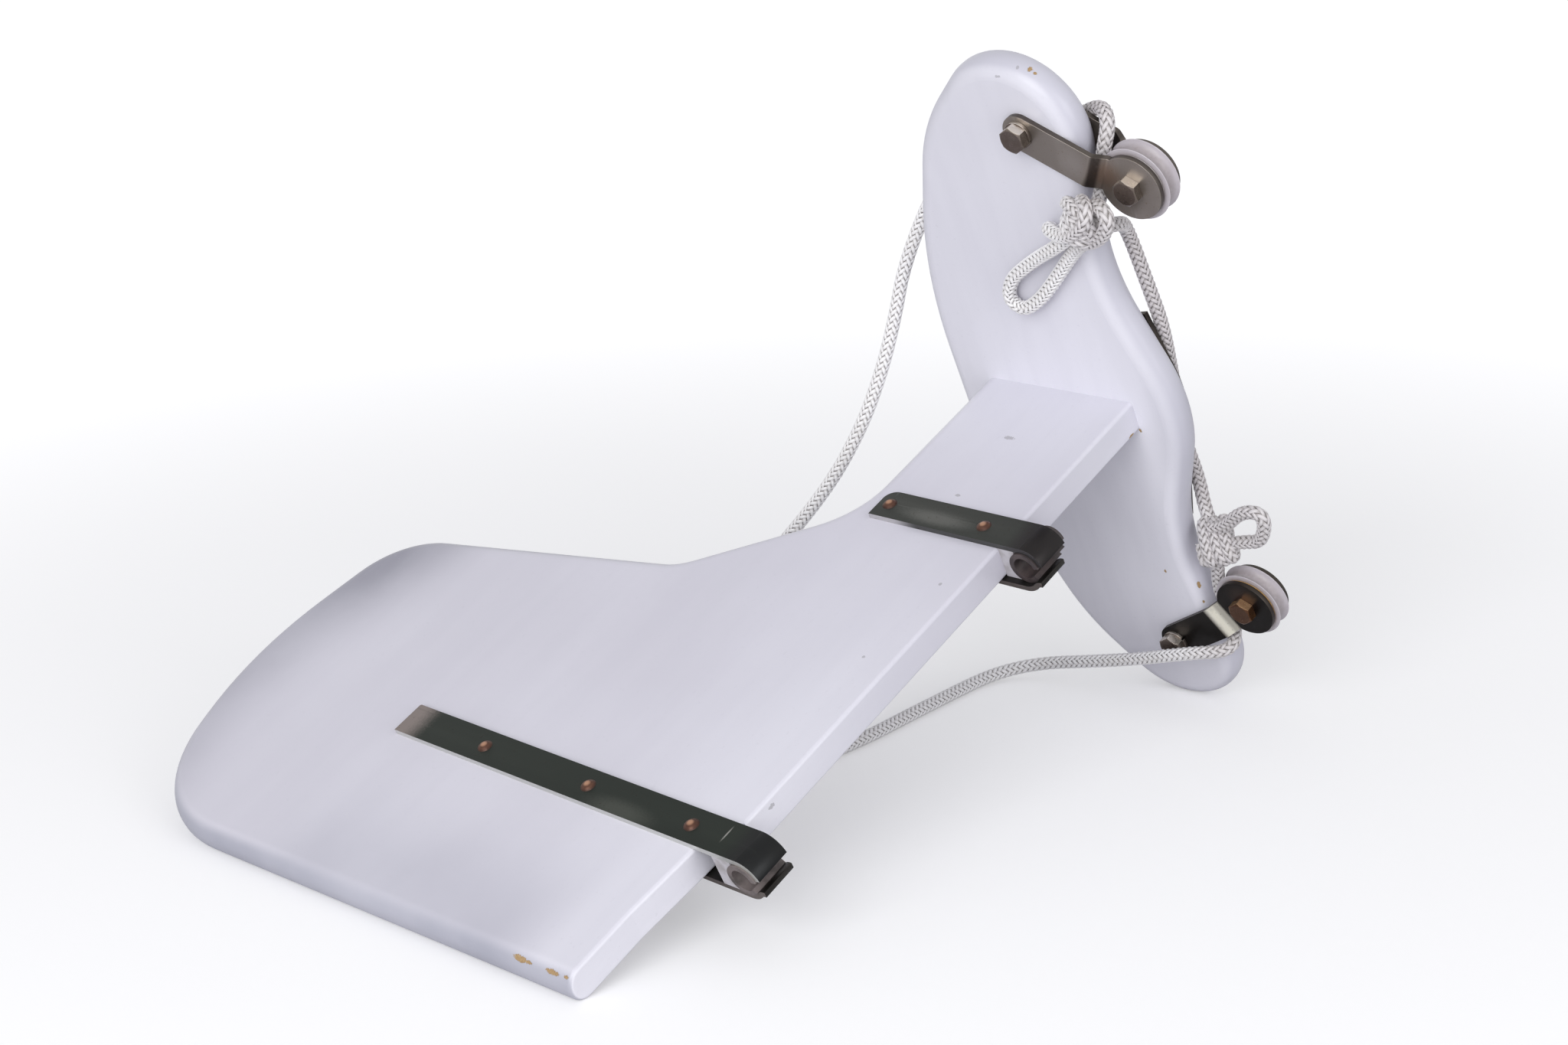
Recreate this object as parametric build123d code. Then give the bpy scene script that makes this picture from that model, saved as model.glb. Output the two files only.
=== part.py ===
from build123d import *
import math
import os

# Rowing boat rudder with a steering yoke, in millimetres.
# It is drawn upright first: x forward to the boat, y to port, z up the pivot axis.
# The underside of the yoke is at z = 0 and the blade's leading edge at x = 0.
# At the end every piece is laid down as the rudder rests on a floor.

# Blade: a painted board, each corner of its outline given as x, z and corner radius.
board = 18.0
board_round = 8.6
leading_round = 2.0
neck_width = 99.5
blade_corners = [
    (0.0, 0.0, 0.0),
    (-neck_width, 0.0, 0.0),
    (-neck_width, -119.0, 52.0),
    (-175.0, -185.5, 30.0),
    (-373.0, -222.0, 50.0),
    (-391.0, -333.0, 200.0),
    (-352.0, -448.5, 85.0),
    (-16.0, -436.5, 0.0),
    (-16.0, -392.0, 0.0),
    (-12.5, -338.0, 0.0),
    (0.0, -327.0, 0.0),
]
heel = 6
toe = 7

# Yoke: a painted board across the head, each corner of its port half as x, y and corner radius.
yoke_thickness = 20.0
yoke_round = 9.4
yoke_corners = [
    (31.1, 0.0, 93.0),
    (1.8, 84.4, 114.0),
    (35.5, 293.0, 43.0),
    (-88.9, 168.6, 115.0),
    (-124.2, 73.7, 280.0),
]
lobe = 2

# Flat steel bar that the gudgeons, the brackets and the top plate are cut from.
bar_width = 20.0
bar_thickness = 3.0

# Screws through the yoke into the head of the blade.
yoke_screw_x = [-28.0, -56.0, -84.0]
yoke_screw_length = 45.0
yoke_screw_radius = 2.5
yoke_screw_head = 4.6
screw_clearance = 0.1

# Top plate: a flat bar bent edgewise along the front of the yoke's far face.
plate_path = [(-1.9, -51.0), (8.8, -2.0), (-11.3, 83.0)]
plate_bend = 60.0
plate_screw_places = [0.07, 0.34, 0.66, 0.95]
plate_screw_length = 17.0
plate_screw_radius = 1.9
plate_screw_head = 3.7

# Gudgeons: two straps on the blade that hold a split bush for the boat's rod.
pivot_x = 14.5
rod_bore = 6.2
bush_radius = board / 2
slot_centre = 14.0
slot_angle = 46.0
bush_stand_out = 0.8
upper_gudgeon_z = -113.5
lower_gudgeon_z = -339.5
upper_strap_end = -86.0
lower_strap_end = -235.0
upper_strap_clip = 7.0
lower_strap_clip = 1.0
curl_end_angle = -14.0
lip_start_angle = 42.0
lip_bend = 4.0
lip_end = 26.0
collar_radius = 7.6
collar_height = 4.5
upper_port_strap_drop = 4.0
upper_block_start = 0.0
lower_block_start = -2.0
block_end = 9.5

# Copper rivets through both straps and the blade.
upper_rivet_x = [-78.7, -15.3]
lower_rivet_x = [-172.0, -94.1, -22.5]
rivet_radius = 2.4
rivet_head = 4.1
rivet_head_height = 1.9
rivet_clearance = 0.1

# Hexagon bolts, nuts and washers of the brackets.
bolt_radius = 4.0
bolt_clearance = 0.2
hex_across_flats = 13.0
hex_face_radius = 6.1
hex_head_height = 5.3
nut_height = 6.5
bolt_stick_out = 2.0
spring_washer_radius = 7.4
spring_washer_thickness = 2.0
spring_washer_split = 1.2
flat_washer_radius = 8.0
flat_washer_thickness = 1.6

# Brackets: a pair of bars bolted through the yoke, joggled inward to carry the sheave.
bracket_reach = 62.5
joggle_start = 40.0
joggle_length = 7.0
joggle_round = 3.5
bracket_gap = 11.4
disc_radius = 17.5
bracket_places = {
    "starboard": (-16.5, -174.4, 27.5),
    "port": (-17.8, 162.9, -34.0),
}

# Sheaves: grooved nylon wheels that turn on their bolts between two thrust rings.
sheave_radius = 20.0
sheave_width = 9.4
sheave_clearance = 0.08
groove_radius = 4.25
groove_centre = 20.7
ring_radius = 17.0
ring_thickness = 0.7

# Steering line: a braided cord along straight runs and arcs, each arc taking this share of the shorter run.
line_radius = 4.0
bend_share = 0.45

# From the starboard knot through its bracket and over the far face, with the rudder upright.
line_over_yoke = [
    (15.2, -129.5, -3.0),
    (14.6, -137.0, 9.4),
    (19.9, -157.0, 9.8),
    (24.2, -173.3, 17.6),
    (9.5, -174.2, 30.0),
    (-22.0, -156.0, 27.4),
    (-62.0, -147.0, 24.5),
    (-100.0, -127.0, 24.6),
]

# Down behind the blade and along the floor, with the rudder lying down.
floor_height = line_radius + 0.1
line_to_floor = [
    (32.0, 141.0, 294.0),
    (20.0, 132.0, 257.0),
    (18.0, 126.0, 230.0),
    (13.0, 119.0, 200.0),
    (3.0, 111.0, 167.0),
    (-19.0, 104.0, 129.0),
    (-62.0, 92.0, 78.0),
    (-92.0, 72.0, 38.0),
    (-96.0, 30.0, 5.0),
    (-65.0, -12.0, floor_height),
    (-15.0, -30.0, floor_height),
    (33.0, -8.0, floor_height),
    (42.0, 50.0, floor_height),
    (36.0, 120.0, floor_height),
    (31.0, 208.0, floor_height),
]

# Up over the port bracket's bolt and in through that bracket, with the rudder upright.
line_to_port_knot = [
    (-49.0, 175.5, -16.5),
    (1.0, 156.2, -15.0),
    (23.5, 156.2, -6.0),
    (17.1, 153.0, 10.0),
    (12.25, 122.5, 10.0),
    (18.5, 100.0, 10.5),
]

# Crossing line between the knots, over the far face and the top plate.
crossing_points = [
    (16.0, -120.5, 2.0),
    (17.5, -117.0, 11.0),
    (8.5, -105.0, 25.0),
    (11.2, -67.0, 25.4),
    (11.0, -42.0, 27.8),
    (8.0, -10.0, 27.6),
    (3.2, 36.0, 27.6),
    (5.3, 62.5, 27.8),
    (10.0, 79.5, 20.0),
    (18.5, 87.0, 13.0),
]

# Knots: the turns of each body as balls given by middle and radius, and the loop that stands out of it.
ball_tilt = (30.0, 50.0, 20.0)
starboard_turns = [
    (15.6, -127.2, -7.0, 13.0),
    (3.0, -124.0, -11.5, 10.5),
    (-9.5, -122.5, -8.6, 7.0),
    (8.0, -139.5, -7.0, 5.6),
    (11.0, -119.0, -10.0, 8.0),
]
starboard_loop = [
    (1.9, -116.3, -9.0),
    (-22.6, -87.8, -4.6),
    (-42.6, -63.5, -4.6),
    (-61.1, -67.2, -4.6),
    (-44.7, -90.3, -4.6),
    (-9.1, -114.9, -9.0),
]
port_turns = [
    (22.0, 84.0, 10.0, 11.5),
    (18.5, 96.0, 11.0, 11.0),
]
port_loop = [
    (27.6, 79.3, 10.0),
    (48.0, 59.6, 10.0),
    (62.8, 60.9, 10.0),
    (55.3, 81.7, 10.0),
    (41.3, 85.7, 10.0),
    (25.8, 90.6, 10.0),
]


def rounded_face(corners):
    """Flat face from corners that each carry their own radius."""
    points = [(a, b) for a, b, _ in corners]
    radii = [radius for _, _, radius in corners]
    return make_face(FilletPolyline(*points, radius=radii, close=True))


def post(x, y, low, high, radius):
    """Upright cylinder between two heights."""
    return Pos(x, y, low) * extrude(Circle(radius), high - low)


def hexagon(height):
    """Hexagon prism with the corners turned off at its far end."""
    prism = extrude(RegularPolygon(hex_across_flats / 2, 6, major_radius=False), height)
    wide = hex_face_radius + height * math.sqrt(3)
    return prism & Cone(wide, hex_face_radius, height, align=(Align.CENTER, Align.CENTER, Align.MIN))


def hex_bolt(length):
    """Bolt with its head below z = 0 and its shank going up."""
    return mirror(hexagon(hex_head_height), Plane.XY) + post(0, 0, 0, length, bolt_radius)


def hex_nut():
    """Nut standing on z = 0."""
    return hexagon(nut_height) - post(0, 0, 0, nut_height, bolt_radius)


def flat_ring(outer, inner, thickness):
    """Washer standing on z = 0."""
    return extrude(Circle(outer) - Circle(inner), thickness)


def wood_screw(head, radius, length):
    """Countersunk screw with its flat head at z = 0 and its point below."""
    shank = post(0, 0, -length + radius, 0, radius)
    point = Pos(0, 0, -length) * Cone(0.4, radius, radius, align=(Align.CENTER, Align.CENTER, Align.MIN))
    sink = head - radius
    top = Pos(0, 0, -sink) * Cone(radius, head, sink, align=(Align.CENTER, Align.CENTER, Align.MIN))
    return shank + point + top


def rivet():
    """Rivet along y with a domed head outside each strap."""
    grip = board + 2 * bar_thickness
    dome = (rivet_head ** 2 + rivet_head_height ** 2) / (2 * rivet_head_height)
    ball = Pos(0, 0, grip / 2 + rivet_head_height - dome) * Sphere(dome)
    head = ball & post(0, 0, grip / 2, grip / 2 + rivet_head_height, rivet_head)
    upright = post(0, 0, -grip / 2, grip / 2, rivet_radius) + head + mirror(head, Plane.XY)
    return Rot(90, 0, 0) * upright


def rivet_holes(places, z):
    """Clearance holes for a row of rivets."""
    reach = board + 4 * bar_thickness
    hole = Rot(90, 0, 0) * post(0, 0, -reach / 2, reach / 2, rivet_radius + rivet_clearance)
    return [Pos(x, 0, z) * hole for x in places]


def make_blade():
    """Board with full round aft and bottom edges and a nearly square leading edge."""
    body = extrude(Plane.XZ * rounded_face(blade_corners), board / 2, both=True)
    toe_x = blade_corners[toe][0]
    rim = [e for e in body.edges() if abs(abs(e.center().Y) - board / 2) < 0.01 and e.center().Z < -1]
    body = fillet([e for e in rim if e.center().X < toe_x - 1], board_round)
    front = [
        e for e in body.edges()
        if abs(abs(e.center().Y) - board / 2) < 0.01
        and e.center().Z < -1
        and e.bounding_box().min.X > toe_x - 1
    ]
    body = fillet(front, leading_round)
    body -= rivet_holes(upper_rivet_x, upper_gudgeon_z)
    body -= rivet_holes(lower_rivet_x, lower_gudgeon_z)
    body -= [Pos(x, 0, yoke_thickness) * screw_hole() for x in yoke_screw_x]
    return body


def screw_hole():
    """Hole that a yoke screw fills."""
    return wood_screw(
        yoke_screw_head + screw_clearance,
        yoke_screw_radius + screw_clearance,
        yoke_screw_length + screw_clearance,
    )


def plate_screw_hole():
    """Hole that a top plate screw fills."""
    return wood_screw(
        plate_screw_head + screw_clearance,
        plate_screw_radius + screw_clearance,
        plate_screw_length + screw_clearance,
    )


def plate_line():
    """Middle line of the top plate."""
    return FilletPolyline(*plate_path, radius=plate_bend)


def plate_screw_spots():
    """Places of the top plate's screws on its outer face."""
    top = yoke_thickness + bar_thickness
    return [Pos(point.X, point.Y, top) for point in (plate_line() @ place for place in plate_screw_places)]


def make_yoke():
    """Board with a bulged front, two round lobes and a full round edge."""
    mirrored = [(x, -y, radius) for x, y, radius in reversed(yoke_corners[1:])]
    body = extrude(rounded_face(mirrored + yoke_corners), yoke_thickness)
    body = fillet(body.faces().filter_by(Axis.Z).edges(), yoke_round)
    body -= [Pos(x, 0, yoke_thickness) * screw_hole() for x in yoke_screw_x]
    body -= [spot * plate_screw_hole() for spot in plate_screw_spots()]
    reach = yoke_thickness * 2
    for x, y, _ in bracket_places.values():
        body -= post(x, y, -reach, reach, bolt_radius + bolt_clearance)
    return body


def make_top_plate():
    """Bent flat bar with countersunk holes."""
    line = plate_line()
    section = Plane(line @ 0, x_dir=(0, 0, 1), z_dir=line % 0) * Rectangle(bar_thickness, bar_width)
    body = Pos(0, 0, yoke_thickness + bar_thickness / 2) * sweep(section, line)
    return body - [spot * plate_screw_hole() for spot in plate_screw_spots()]


def gudgeon_strap(line, z, drop, clip, rivets):
    """Bar bent along a line in plan, with its upper aft corner clipped."""
    section = Plane(line @ 0, x_dir=(0, 1, 0), z_dir=line % 0) * Rectangle(bar_thickness, bar_width)
    body = Pos(0, 0, z - drop) * sweep(section, line)
    corner = body.edges().filter_by(Axis.Y).sort_by(Axis.X)[:2].sort_by(Axis.Z)[-1]
    return fillet(corner, clip) - rivet_holes(rivets, z)


def starboard_line(end):
    """Middle line of the strap that curls round the bush."""
    face = board / 2 + bar_thickness / 2
    return Line((end, -face), (pivot_x, -face)) + CenterArc((pivot_x, 0), face, -90, 90 + curl_end_angle)


def port_line(end):
    """Middle line of the strap that leaves the bush with a forward lip."""
    face = board / 2 + bar_thickness / 2
    turn = 90 - lip_start_angle
    line = Line((end, face), (pivot_x, face))
    hug = CenterArc((pivot_x, 0), face, 90, -turn)
    ease = JernArc(hug @ 1, hug % 1, lip_bend, turn)
    lip = Line(ease @ 1, (lip_end, (ease @ 1).Y))
    return line + hug + ease + lip


def packing_block(start, z):
    """Block between the straps, hollowed where the bush seats."""
    block = Pos((start + block_end) / 2, 0, z) * Box(block_end - start, board, bar_width)
    return block - post(pivot_x, 0, z - bar_width, z + bar_width, bush_radius)


def split_bush(z, collar):
    """Bush with a slot to the front, and a collar of some height on top."""
    low = z - bar_width / 2 - bush_stand_out
    high = z + bar_width / 2
    body = post(pivot_x, 0, low, high, bush_radius) + post(pivot_x, 0, low, high + collar, collar_radius)
    body -= post(pivot_x, 0, low, high + collar, rod_bore)
    reach = 2 * bush_radius
    angles = [math.radians(slot_centre + side * slot_angle / 2) for side in (-1, 1)]
    rays = [(reach * math.cos(angle), reach * math.sin(angle)) for angle in angles]
    wedge = Pos(pivot_x, 0, low) * extrude(make_face(Polyline((0, 0), *rays, close=True)), high + collar - low)
    return body - wedge


def bracket_strap():
    """Upper bar of a bracket, its bolt on the z axis and its sheave out along x."""
    seat = yoke_thickness / 2 + bar_thickness / 2
    tip = bracket_gap / 2 + bar_thickness / 2
    corners = [
        (-bar_width / 2, 0, seat),
        (joggle_start, 0, seat),
        (joggle_start + joggle_length, 0, tip),
        (bracket_reach + disc_radius, 0, tip),
    ]
    line = FilletPolyline(*corners, radius=joggle_round)
    section = Plane(line @ 0, x_dir=(0, 1, 0), z_dir=line % 0) * Rectangle(2 * disc_radius, bar_thickness)
    plan = Circle(bar_width / 2)
    plan += Pos(bracket_reach / 2, 0) * Rectangle(bracket_reach, bar_width)
    plan += Pos(bracket_reach, 0) * Circle(disc_radius)
    plan -= Circle(bolt_radius + bolt_clearance)
    plan -= Pos(bracket_reach, 0) * Circle(bolt_radius + bolt_clearance)
    return sweep(section, line) & extrude(plan, yoke_thickness)


def make_sheave():
    """Wheel about z with a round groove for the steering line."""
    bore = bolt_radius + sheave_clearance
    profile = Pos((bore + sheave_radius) / 2, 0) * Rectangle(sheave_radius - bore, sheave_width)
    profile -= Pos(groove_centre, 0) * Circle(groove_radius)
    return revolve(Plane.XZ * profile, Axis.Z)


def make_bracket(side, x, y, angle):
    """All the pieces of one arm's bracket and sheave, by name."""
    frame = Location((x, y, yoke_thickness / 2), (0, 0, angle))
    out = Pos(bracket_reach, 0, 0)
    seat = yoke_thickness / 2 + bar_thickness
    tip = bracket_gap / 2 + bar_thickness
    grip = 2 * seat + spring_washer_thickness + flat_washer_thickness
    upper = bracket_strap()
    spring = flat_ring(spring_washer_radius, bolt_radius + bolt_clearance, spring_washer_thickness)
    spring -= Pos(spring_washer_radius, 0, 0) * Box(spring_washer_radius * 2, spring_washer_split, bar_width)
    flat = flat_ring(flat_washer_radius, bolt_radius + bolt_clearance, flat_washer_thickness)
    ring = flat_ring(ring_radius, bolt_radius + bolt_clearance, ring_thickness)
    pieces = {
        "bracket_upper_strap": upper,
        "bracket_lower_strap": mirror(upper, Plane.XY),
        "bracket_bolt": Pos(0, 0, -seat - spring_washer_thickness) * hex_bolt(grip + nut_height + bolt_stick_out),
        "bracket_nut": Pos(0, 0, seat + flat_washer_thickness) * hex_nut(),
        "bracket_washers": Compound([Pos(0, 0, -seat - spring_washer_thickness) * spring, Pos(0, 0, seat) * flat]),
        "sheave": out * make_sheave(),
        "sheave_bolt": out * Pos(0, 0, -tip) * hex_bolt(2 * tip + nut_height + bolt_stick_out),
        "sheave_nut": out * Pos(0, 0, tip) * hex_nut(),
        "thrust_rings": Compound([
            out * Pos(0, 0, bracket_gap / 2 - ring_thickness) * ring,
            out * Pos(0, 0, -bracket_gap / 2) * ring,
        ]),
    }
    return {side + "_" + name: frame * piece for name, piece in pieces.items()}


def arc_centre(before, corner, after, radius):
    """Centre of the arc that rounds a corner."""
    back = (Vector(*before) - Vector(*corner)).normalized()
    ahead = (Vector(*after) - Vector(*corner)).normalized()
    half = math.radians(back.get_angle(ahead)) / 2
    return Vector(*corner) + (back + ahead).normalized() * (radius / math.sin(half))


def resting_plane():
    """Floor plane that the blade's bottom edge and the port lobe of the yoke rest on."""
    heel_point = Vector(blade_corners[heel][0], 0, blade_corners[heel][1])
    toe_point = Vector(blade_corners[toe][0], 0, blade_corners[toe][1])
    along = (toe_point - heel_point).normalized()
    inward = Vector(0, -1, 0).cross(along)
    low_edge = toe_point + inward * board_round + Vector(0, board / 2 - board_round, 0)
    lobe_middle = arc_centre(
        yoke_corners[lobe - 1][:2],
        yoke_corners[lobe][:2],
        yoke_corners[lobe + 1][:2],
        yoke_corners[lobe][2],
    )
    low_lobe = lobe_middle + Vector(0, yoke_corners[lobe][2] - yoke_round, yoke_round)
    across = low_lobe - low_edge
    across -= along * across.dot(along)
    lean = (yoke_round - board_round) / across.length
    up = across.normalized() * lean - along.cross(across.normalized()) * math.sqrt(1 - lean ** 2)
    if up.Y > 0:
        up = across.normalized() * lean + along.cross(across.normalized()) * math.sqrt(1 - lean ** 2)
    forward = Vector(1, 0, 0) - up * up.X
    return Plane(origin=(0, 0, 0), x_dir=forward, z_dir=up)


def upright(points):
    """Points drawn with the rudder upright, moved to where it lies."""
    return [(to_origin * laid * Pos(*point)).position for point in points]


def cord(name, points):
    """Round cord along straight runs and tangent arcs."""
    points = [Vector(*point) for point in points]
    radii = []
    for before, corner, after in zip(points, points[1:], points[2:]):
        turn = math.radians((corner - before).get_angle(after - corner))
        run = min((corner - before).length, (after - corner).length)
        radii.append(bend_share * run / math.tan(turn / 2))
    path = FilletPolyline(*points, radius=radii)
    body = sweep(Plane(path @ 0, z_dir=path % 0) * Circle(line_radius), path)
    print(name, "radii", [round(radius, 1) for radius in radii])
    print(name, "length", round(path.length, 1), "volume", body.volume / (path.length * math.pi * line_radius ** 2))
    return body


def knot(name, turns, loop):
    """Knot body with its loop. The lines end inside it."""
    body = cord(name, upright(loop))
    for x, y, z, radius in turns:
        body += Pos(*upright([(x, y, z)])[0]) * Rot(*ball_tilt) * Sphere(radius)
    return body


nodes = {
    "blade": make_blade(),
    "yoke": make_yoke(),
    "yoke_screws": Compound([
        Pos(x, 0, yoke_thickness) * wood_screw(yoke_screw_head, yoke_screw_radius, yoke_screw_length)
        for x in yoke_screw_x
    ]),
    "top_plate": make_top_plate(),
    "top_plate_screws": Compound([
        spot * wood_screw(plate_screw_head, plate_screw_radius, plate_screw_length)
        for spot in plate_screw_spots()
    ]),
}
gudgeons = {
    "upper": (upper_gudgeon_z, upper_strap_end, upper_strap_clip, upper_block_start, upper_rivet_x),
    "lower": (lower_gudgeon_z, lower_strap_end, lower_strap_clip, lower_block_start, lower_rivet_x),
}
port_strap_drop = {"upper": upper_port_strap_drop, "lower": 0}
bush_collar = {"upper": collar_height, "lower": 0}
for level, (z, end, clip, start, rivets) in gudgeons.items():
    drop = port_strap_drop[level]
    nodes[level + "_gudgeon_starboard_strap"] = gudgeon_strap(starboard_line(end), z, 0, clip, rivets)
    nodes[level + "_gudgeon_port_strap"] = gudgeon_strap(port_line(end), z, drop, clip, rivets)
    nodes[level + "_packing_block"] = packing_block(start, z)
    nodes[level + "_bush"] = split_bush(z, bush_collar[level])
    nodes[level + "_rivets"] = Compound([Pos(x, 0, z) * rivet() for x in rivets])
for side, (x, y, angle) in bracket_places.items():
    nodes.update(make_bracket(side, x, y, angle))

laid = resting_plane().location.inverse()
nodes = {name: laid * piece for name, piece in nodes.items()}
box = Compound(list(nodes.values())).bounding_box()
to_origin = Pos(-box.center().X, -box.center().Y, -box.min.Z)
nodes = {name: to_origin * piece for name, piece in nodes.items()}

nodes["steering_line"] = cord("steering line", upright(line_over_yoke) + line_to_floor + upright(line_to_port_knot))
nodes["crossing_line"] = cord("crossing line", upright(crossing_points))
nodes["starboard_knot"] = knot("starboard knot", starboard_turns, starboard_loop)
nodes["port_knot"] = knot("port knot", port_turns, port_loop)

os.makedirs("parts", exist_ok=True)
for name, piece in nodes.items():
    export_step(piece, "parts/" + name + ".step")
print("box", box.size, "shift", to_origin.position)
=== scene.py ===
import math
import bmesh
import bpy
import numpy as np
from mathutils import Matrix, Vector


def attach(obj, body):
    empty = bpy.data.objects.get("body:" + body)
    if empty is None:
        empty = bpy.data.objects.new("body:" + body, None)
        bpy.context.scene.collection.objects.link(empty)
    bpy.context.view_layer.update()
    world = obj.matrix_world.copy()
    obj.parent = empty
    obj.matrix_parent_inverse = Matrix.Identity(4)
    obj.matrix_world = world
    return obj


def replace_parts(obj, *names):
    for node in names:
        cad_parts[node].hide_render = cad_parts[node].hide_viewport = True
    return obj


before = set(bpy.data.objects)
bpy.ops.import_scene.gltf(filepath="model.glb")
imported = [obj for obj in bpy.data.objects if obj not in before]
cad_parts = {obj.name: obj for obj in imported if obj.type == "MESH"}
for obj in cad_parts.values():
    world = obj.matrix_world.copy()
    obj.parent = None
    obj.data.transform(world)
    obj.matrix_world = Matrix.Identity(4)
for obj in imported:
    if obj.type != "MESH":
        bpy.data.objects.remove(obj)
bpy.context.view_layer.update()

scene = bpy.context.scene
scene.view_settings.view_transform = "Standard"

# How the rudder lies: upright it has x forward, y to port and z up the pivot axis. Places on the
# pieces are written upright, in metres for the finishes and in millimetres for the ropes.
laid = Matrix((
    (0.999887498, -0.0136123316, 0.00630047105, 0.163293278),
    (0.0, 0.420039330, 0.907505902, 0.151029418),
    (-0.0149997169, -0.907403805, 0.419992074, 0.188439437),
    (0.0, 0.0, 0.0, 1.0),
))
upright = laid.inverted()

# Camera: a close hand-held view from ahead and to starboard of the rudder.
camera = bpy.data.objects.new("camera", bpy.data.cameras.new("camera"))
scene.collection.objects.link(camera)
camera.data.sensor_width = 36.0
camera.data.lens = 55.72
camera.location = (0.901902, -0.863673, 0.509381)
camera.rotation_euler = [math.radians(angle) for angle in (73.37122, 2.62574, 43.88734)]
scene.camera = camera


class Coat:
    """A value, colour or place in a material. Sums and products of values become maths nodes."""

    def __init__(self, socket):
        self.socket = socket

    def add(self, kind, settings, sockets, out=0):
        """Any node: its settings are made first, then its sockets are filled or linked."""
        tree = self.socket.id_data
        node = tree.nodes.new("ShaderNode" + kind)
        for name, value in settings.items():
            setattr(node, name, value)
        for name, value in sockets.items():
            if isinstance(value, Coat):
                tree.links.new(node.inputs[name], value.socket)
            else:
                node.inputs[name].default_value = value
        return Coat(node.outputs[out])

    def plain(self, colour):
        """One colour all over."""
        tone = self.add("RGB", {}, {})
        tone.socket.default_value = colour
        return tone

    def maths(self, operation, first, second=0.0):
        return self.add("Math", {"operation": operation}, {0: first, 1: second})

    def vector(self, operation, other=(0.0, 0.0, 0.0), out=0):
        return self.add("VectorMath", {"operation": operation}, {0: self, 1: other}, out)

    def __add__(self, other):
        return self.maths("ADD", self, other)

    def __sub__(self, other):
        return self.maths("SUBTRACT", self, other)

    def __rsub__(self, other):
        return self.maths("SUBTRACT", other, self)

    def __mul__(self, other):
        return self.maths("MULTIPLY", self, other)

    def __abs__(self):
        return self.maths("ABSOLUTE", self)

    __radd__ = __add__
    __rmul__ = __mul__

    def between(self, low, high):
        """0 below the low value, 1 above the high one, and a smooth step from one to the other."""
        settings = {"interpolation_type": "SMOOTHSTEP"}
        return self.add("MapRange", settings, {"Value": self, "From Min": low, "From Max": high})

    def noise(self, scale, detail=3.0, stretch=(1.0, 1.0, 1.0)):
        """Cloudy value from 0 to 1 over a place, drawn out along its axes."""
        drawn = self.vector("MULTIPLY", stretch)
        return self.add("TexNoise", {}, {"Vector": drawn, "Scale": scale, "Detail": detail})

    def axis(self, letter):
        return self.add("SeparateXYZ", {}, {0: self}, letter)

    def facing(self, axis):
        """How squarely the surface faces along an upright axis, 0 to 1."""
        normal = self.add("TexCoord", {}, {}, "Normal")
        return abs(normal.vector("DOT_PRODUCT", laid.col[axis].xyz, "Value"))

    def over(self, mask, colour):
        """This colour, and another one where the mask is 1."""
        sockets = {0: mask, 6: self, 7: colour}
        return self.add("Mix", {"data_type": "RGBA"}, sockets, 2)


def ink(red, green, blue):
    """Colour from its values on screen, 0 to 255."""
    return (*[((value / 255 + 0.055) / 1.055) ** 2.4 for value in (red, green, blue)], 1.0)


def new_finish(name):
    """An empty finish: its material, its shader, and the upright place of each point."""
    material = bpy.data.materials.new(name)
    material.use_nodes = True
    shader = material.node_tree.nodes["Principled BSDF"]
    here = Coat(shader.outputs[0]).add("TexCoord", {}, {}, "Object")
    turn = {"Vector": here, "Location": upright.translation, "Rotation": upright.to_euler()}
    return material, shader, here.add("Mapping", {}, turn)


def lay_on(shader, **sockets):
    """Fill or link the shader's sockets."""
    for name, value in sockets.items():
        socket = shader.inputs[name.replace("_", " ")]
        if isinstance(value, Coat):
            shader.id_data.links.new(socket, value.socket)
        else:
            socket.default_value = value


def grain(here, height, distance):
    """Bumps for the Normal socket from a height."""
    return here.add("Bump", {}, {"Strength": 1.0, "Distance": distance, "Height": height})


def dress(nodes, material):
    """Put a finish on CAD nodes."""
    for name in nodes:
        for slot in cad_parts[name].material_slots:
            slot.material = material


# Floor and light: a pale sheet under the rudder, an overcast white room round it,
# and two wide soft lamps, the larger one beside the camera. The sheet glows to the camera
# alone, more so away from the rudder, so that it runs out into white.
white = (1.0, 1.0, 1.0, 1.0)
near_glow = 0.3
far_glow = 0.6
floor_material, floor_shader, floor_here = new_finish("floor_sheet")
lay_on(floor_shader, Base_Color=ink(226, 226, 228), Roughness=0.9)
floor_seen = floor_here.add("LightPath", {}, {}, "Is Camera Ray")
far_off = floor_here.add("TexCoord", {}, {}, "Object").vector("LENGTH", out="Value").between(0.3, 1.6)
floor_glow = floor_seen * (far_off * (far_glow - near_glow) + near_glow)
lay_on(floor_shader, Emission_Color=white, Emission_Strength=floor_glow)
floor = bpy.data.objects.new("floor", bpy.data.meshes.new("floor"))
floor.data.from_pydata([(-30, -30, 0), (30, -30, 0), (30, 30, 0), (-30, 30, 0)], [], [(0, 1, 2, 3)])
floor.data.materials.append(floor_material)
scene.collection.objects.link(floor)

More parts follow.
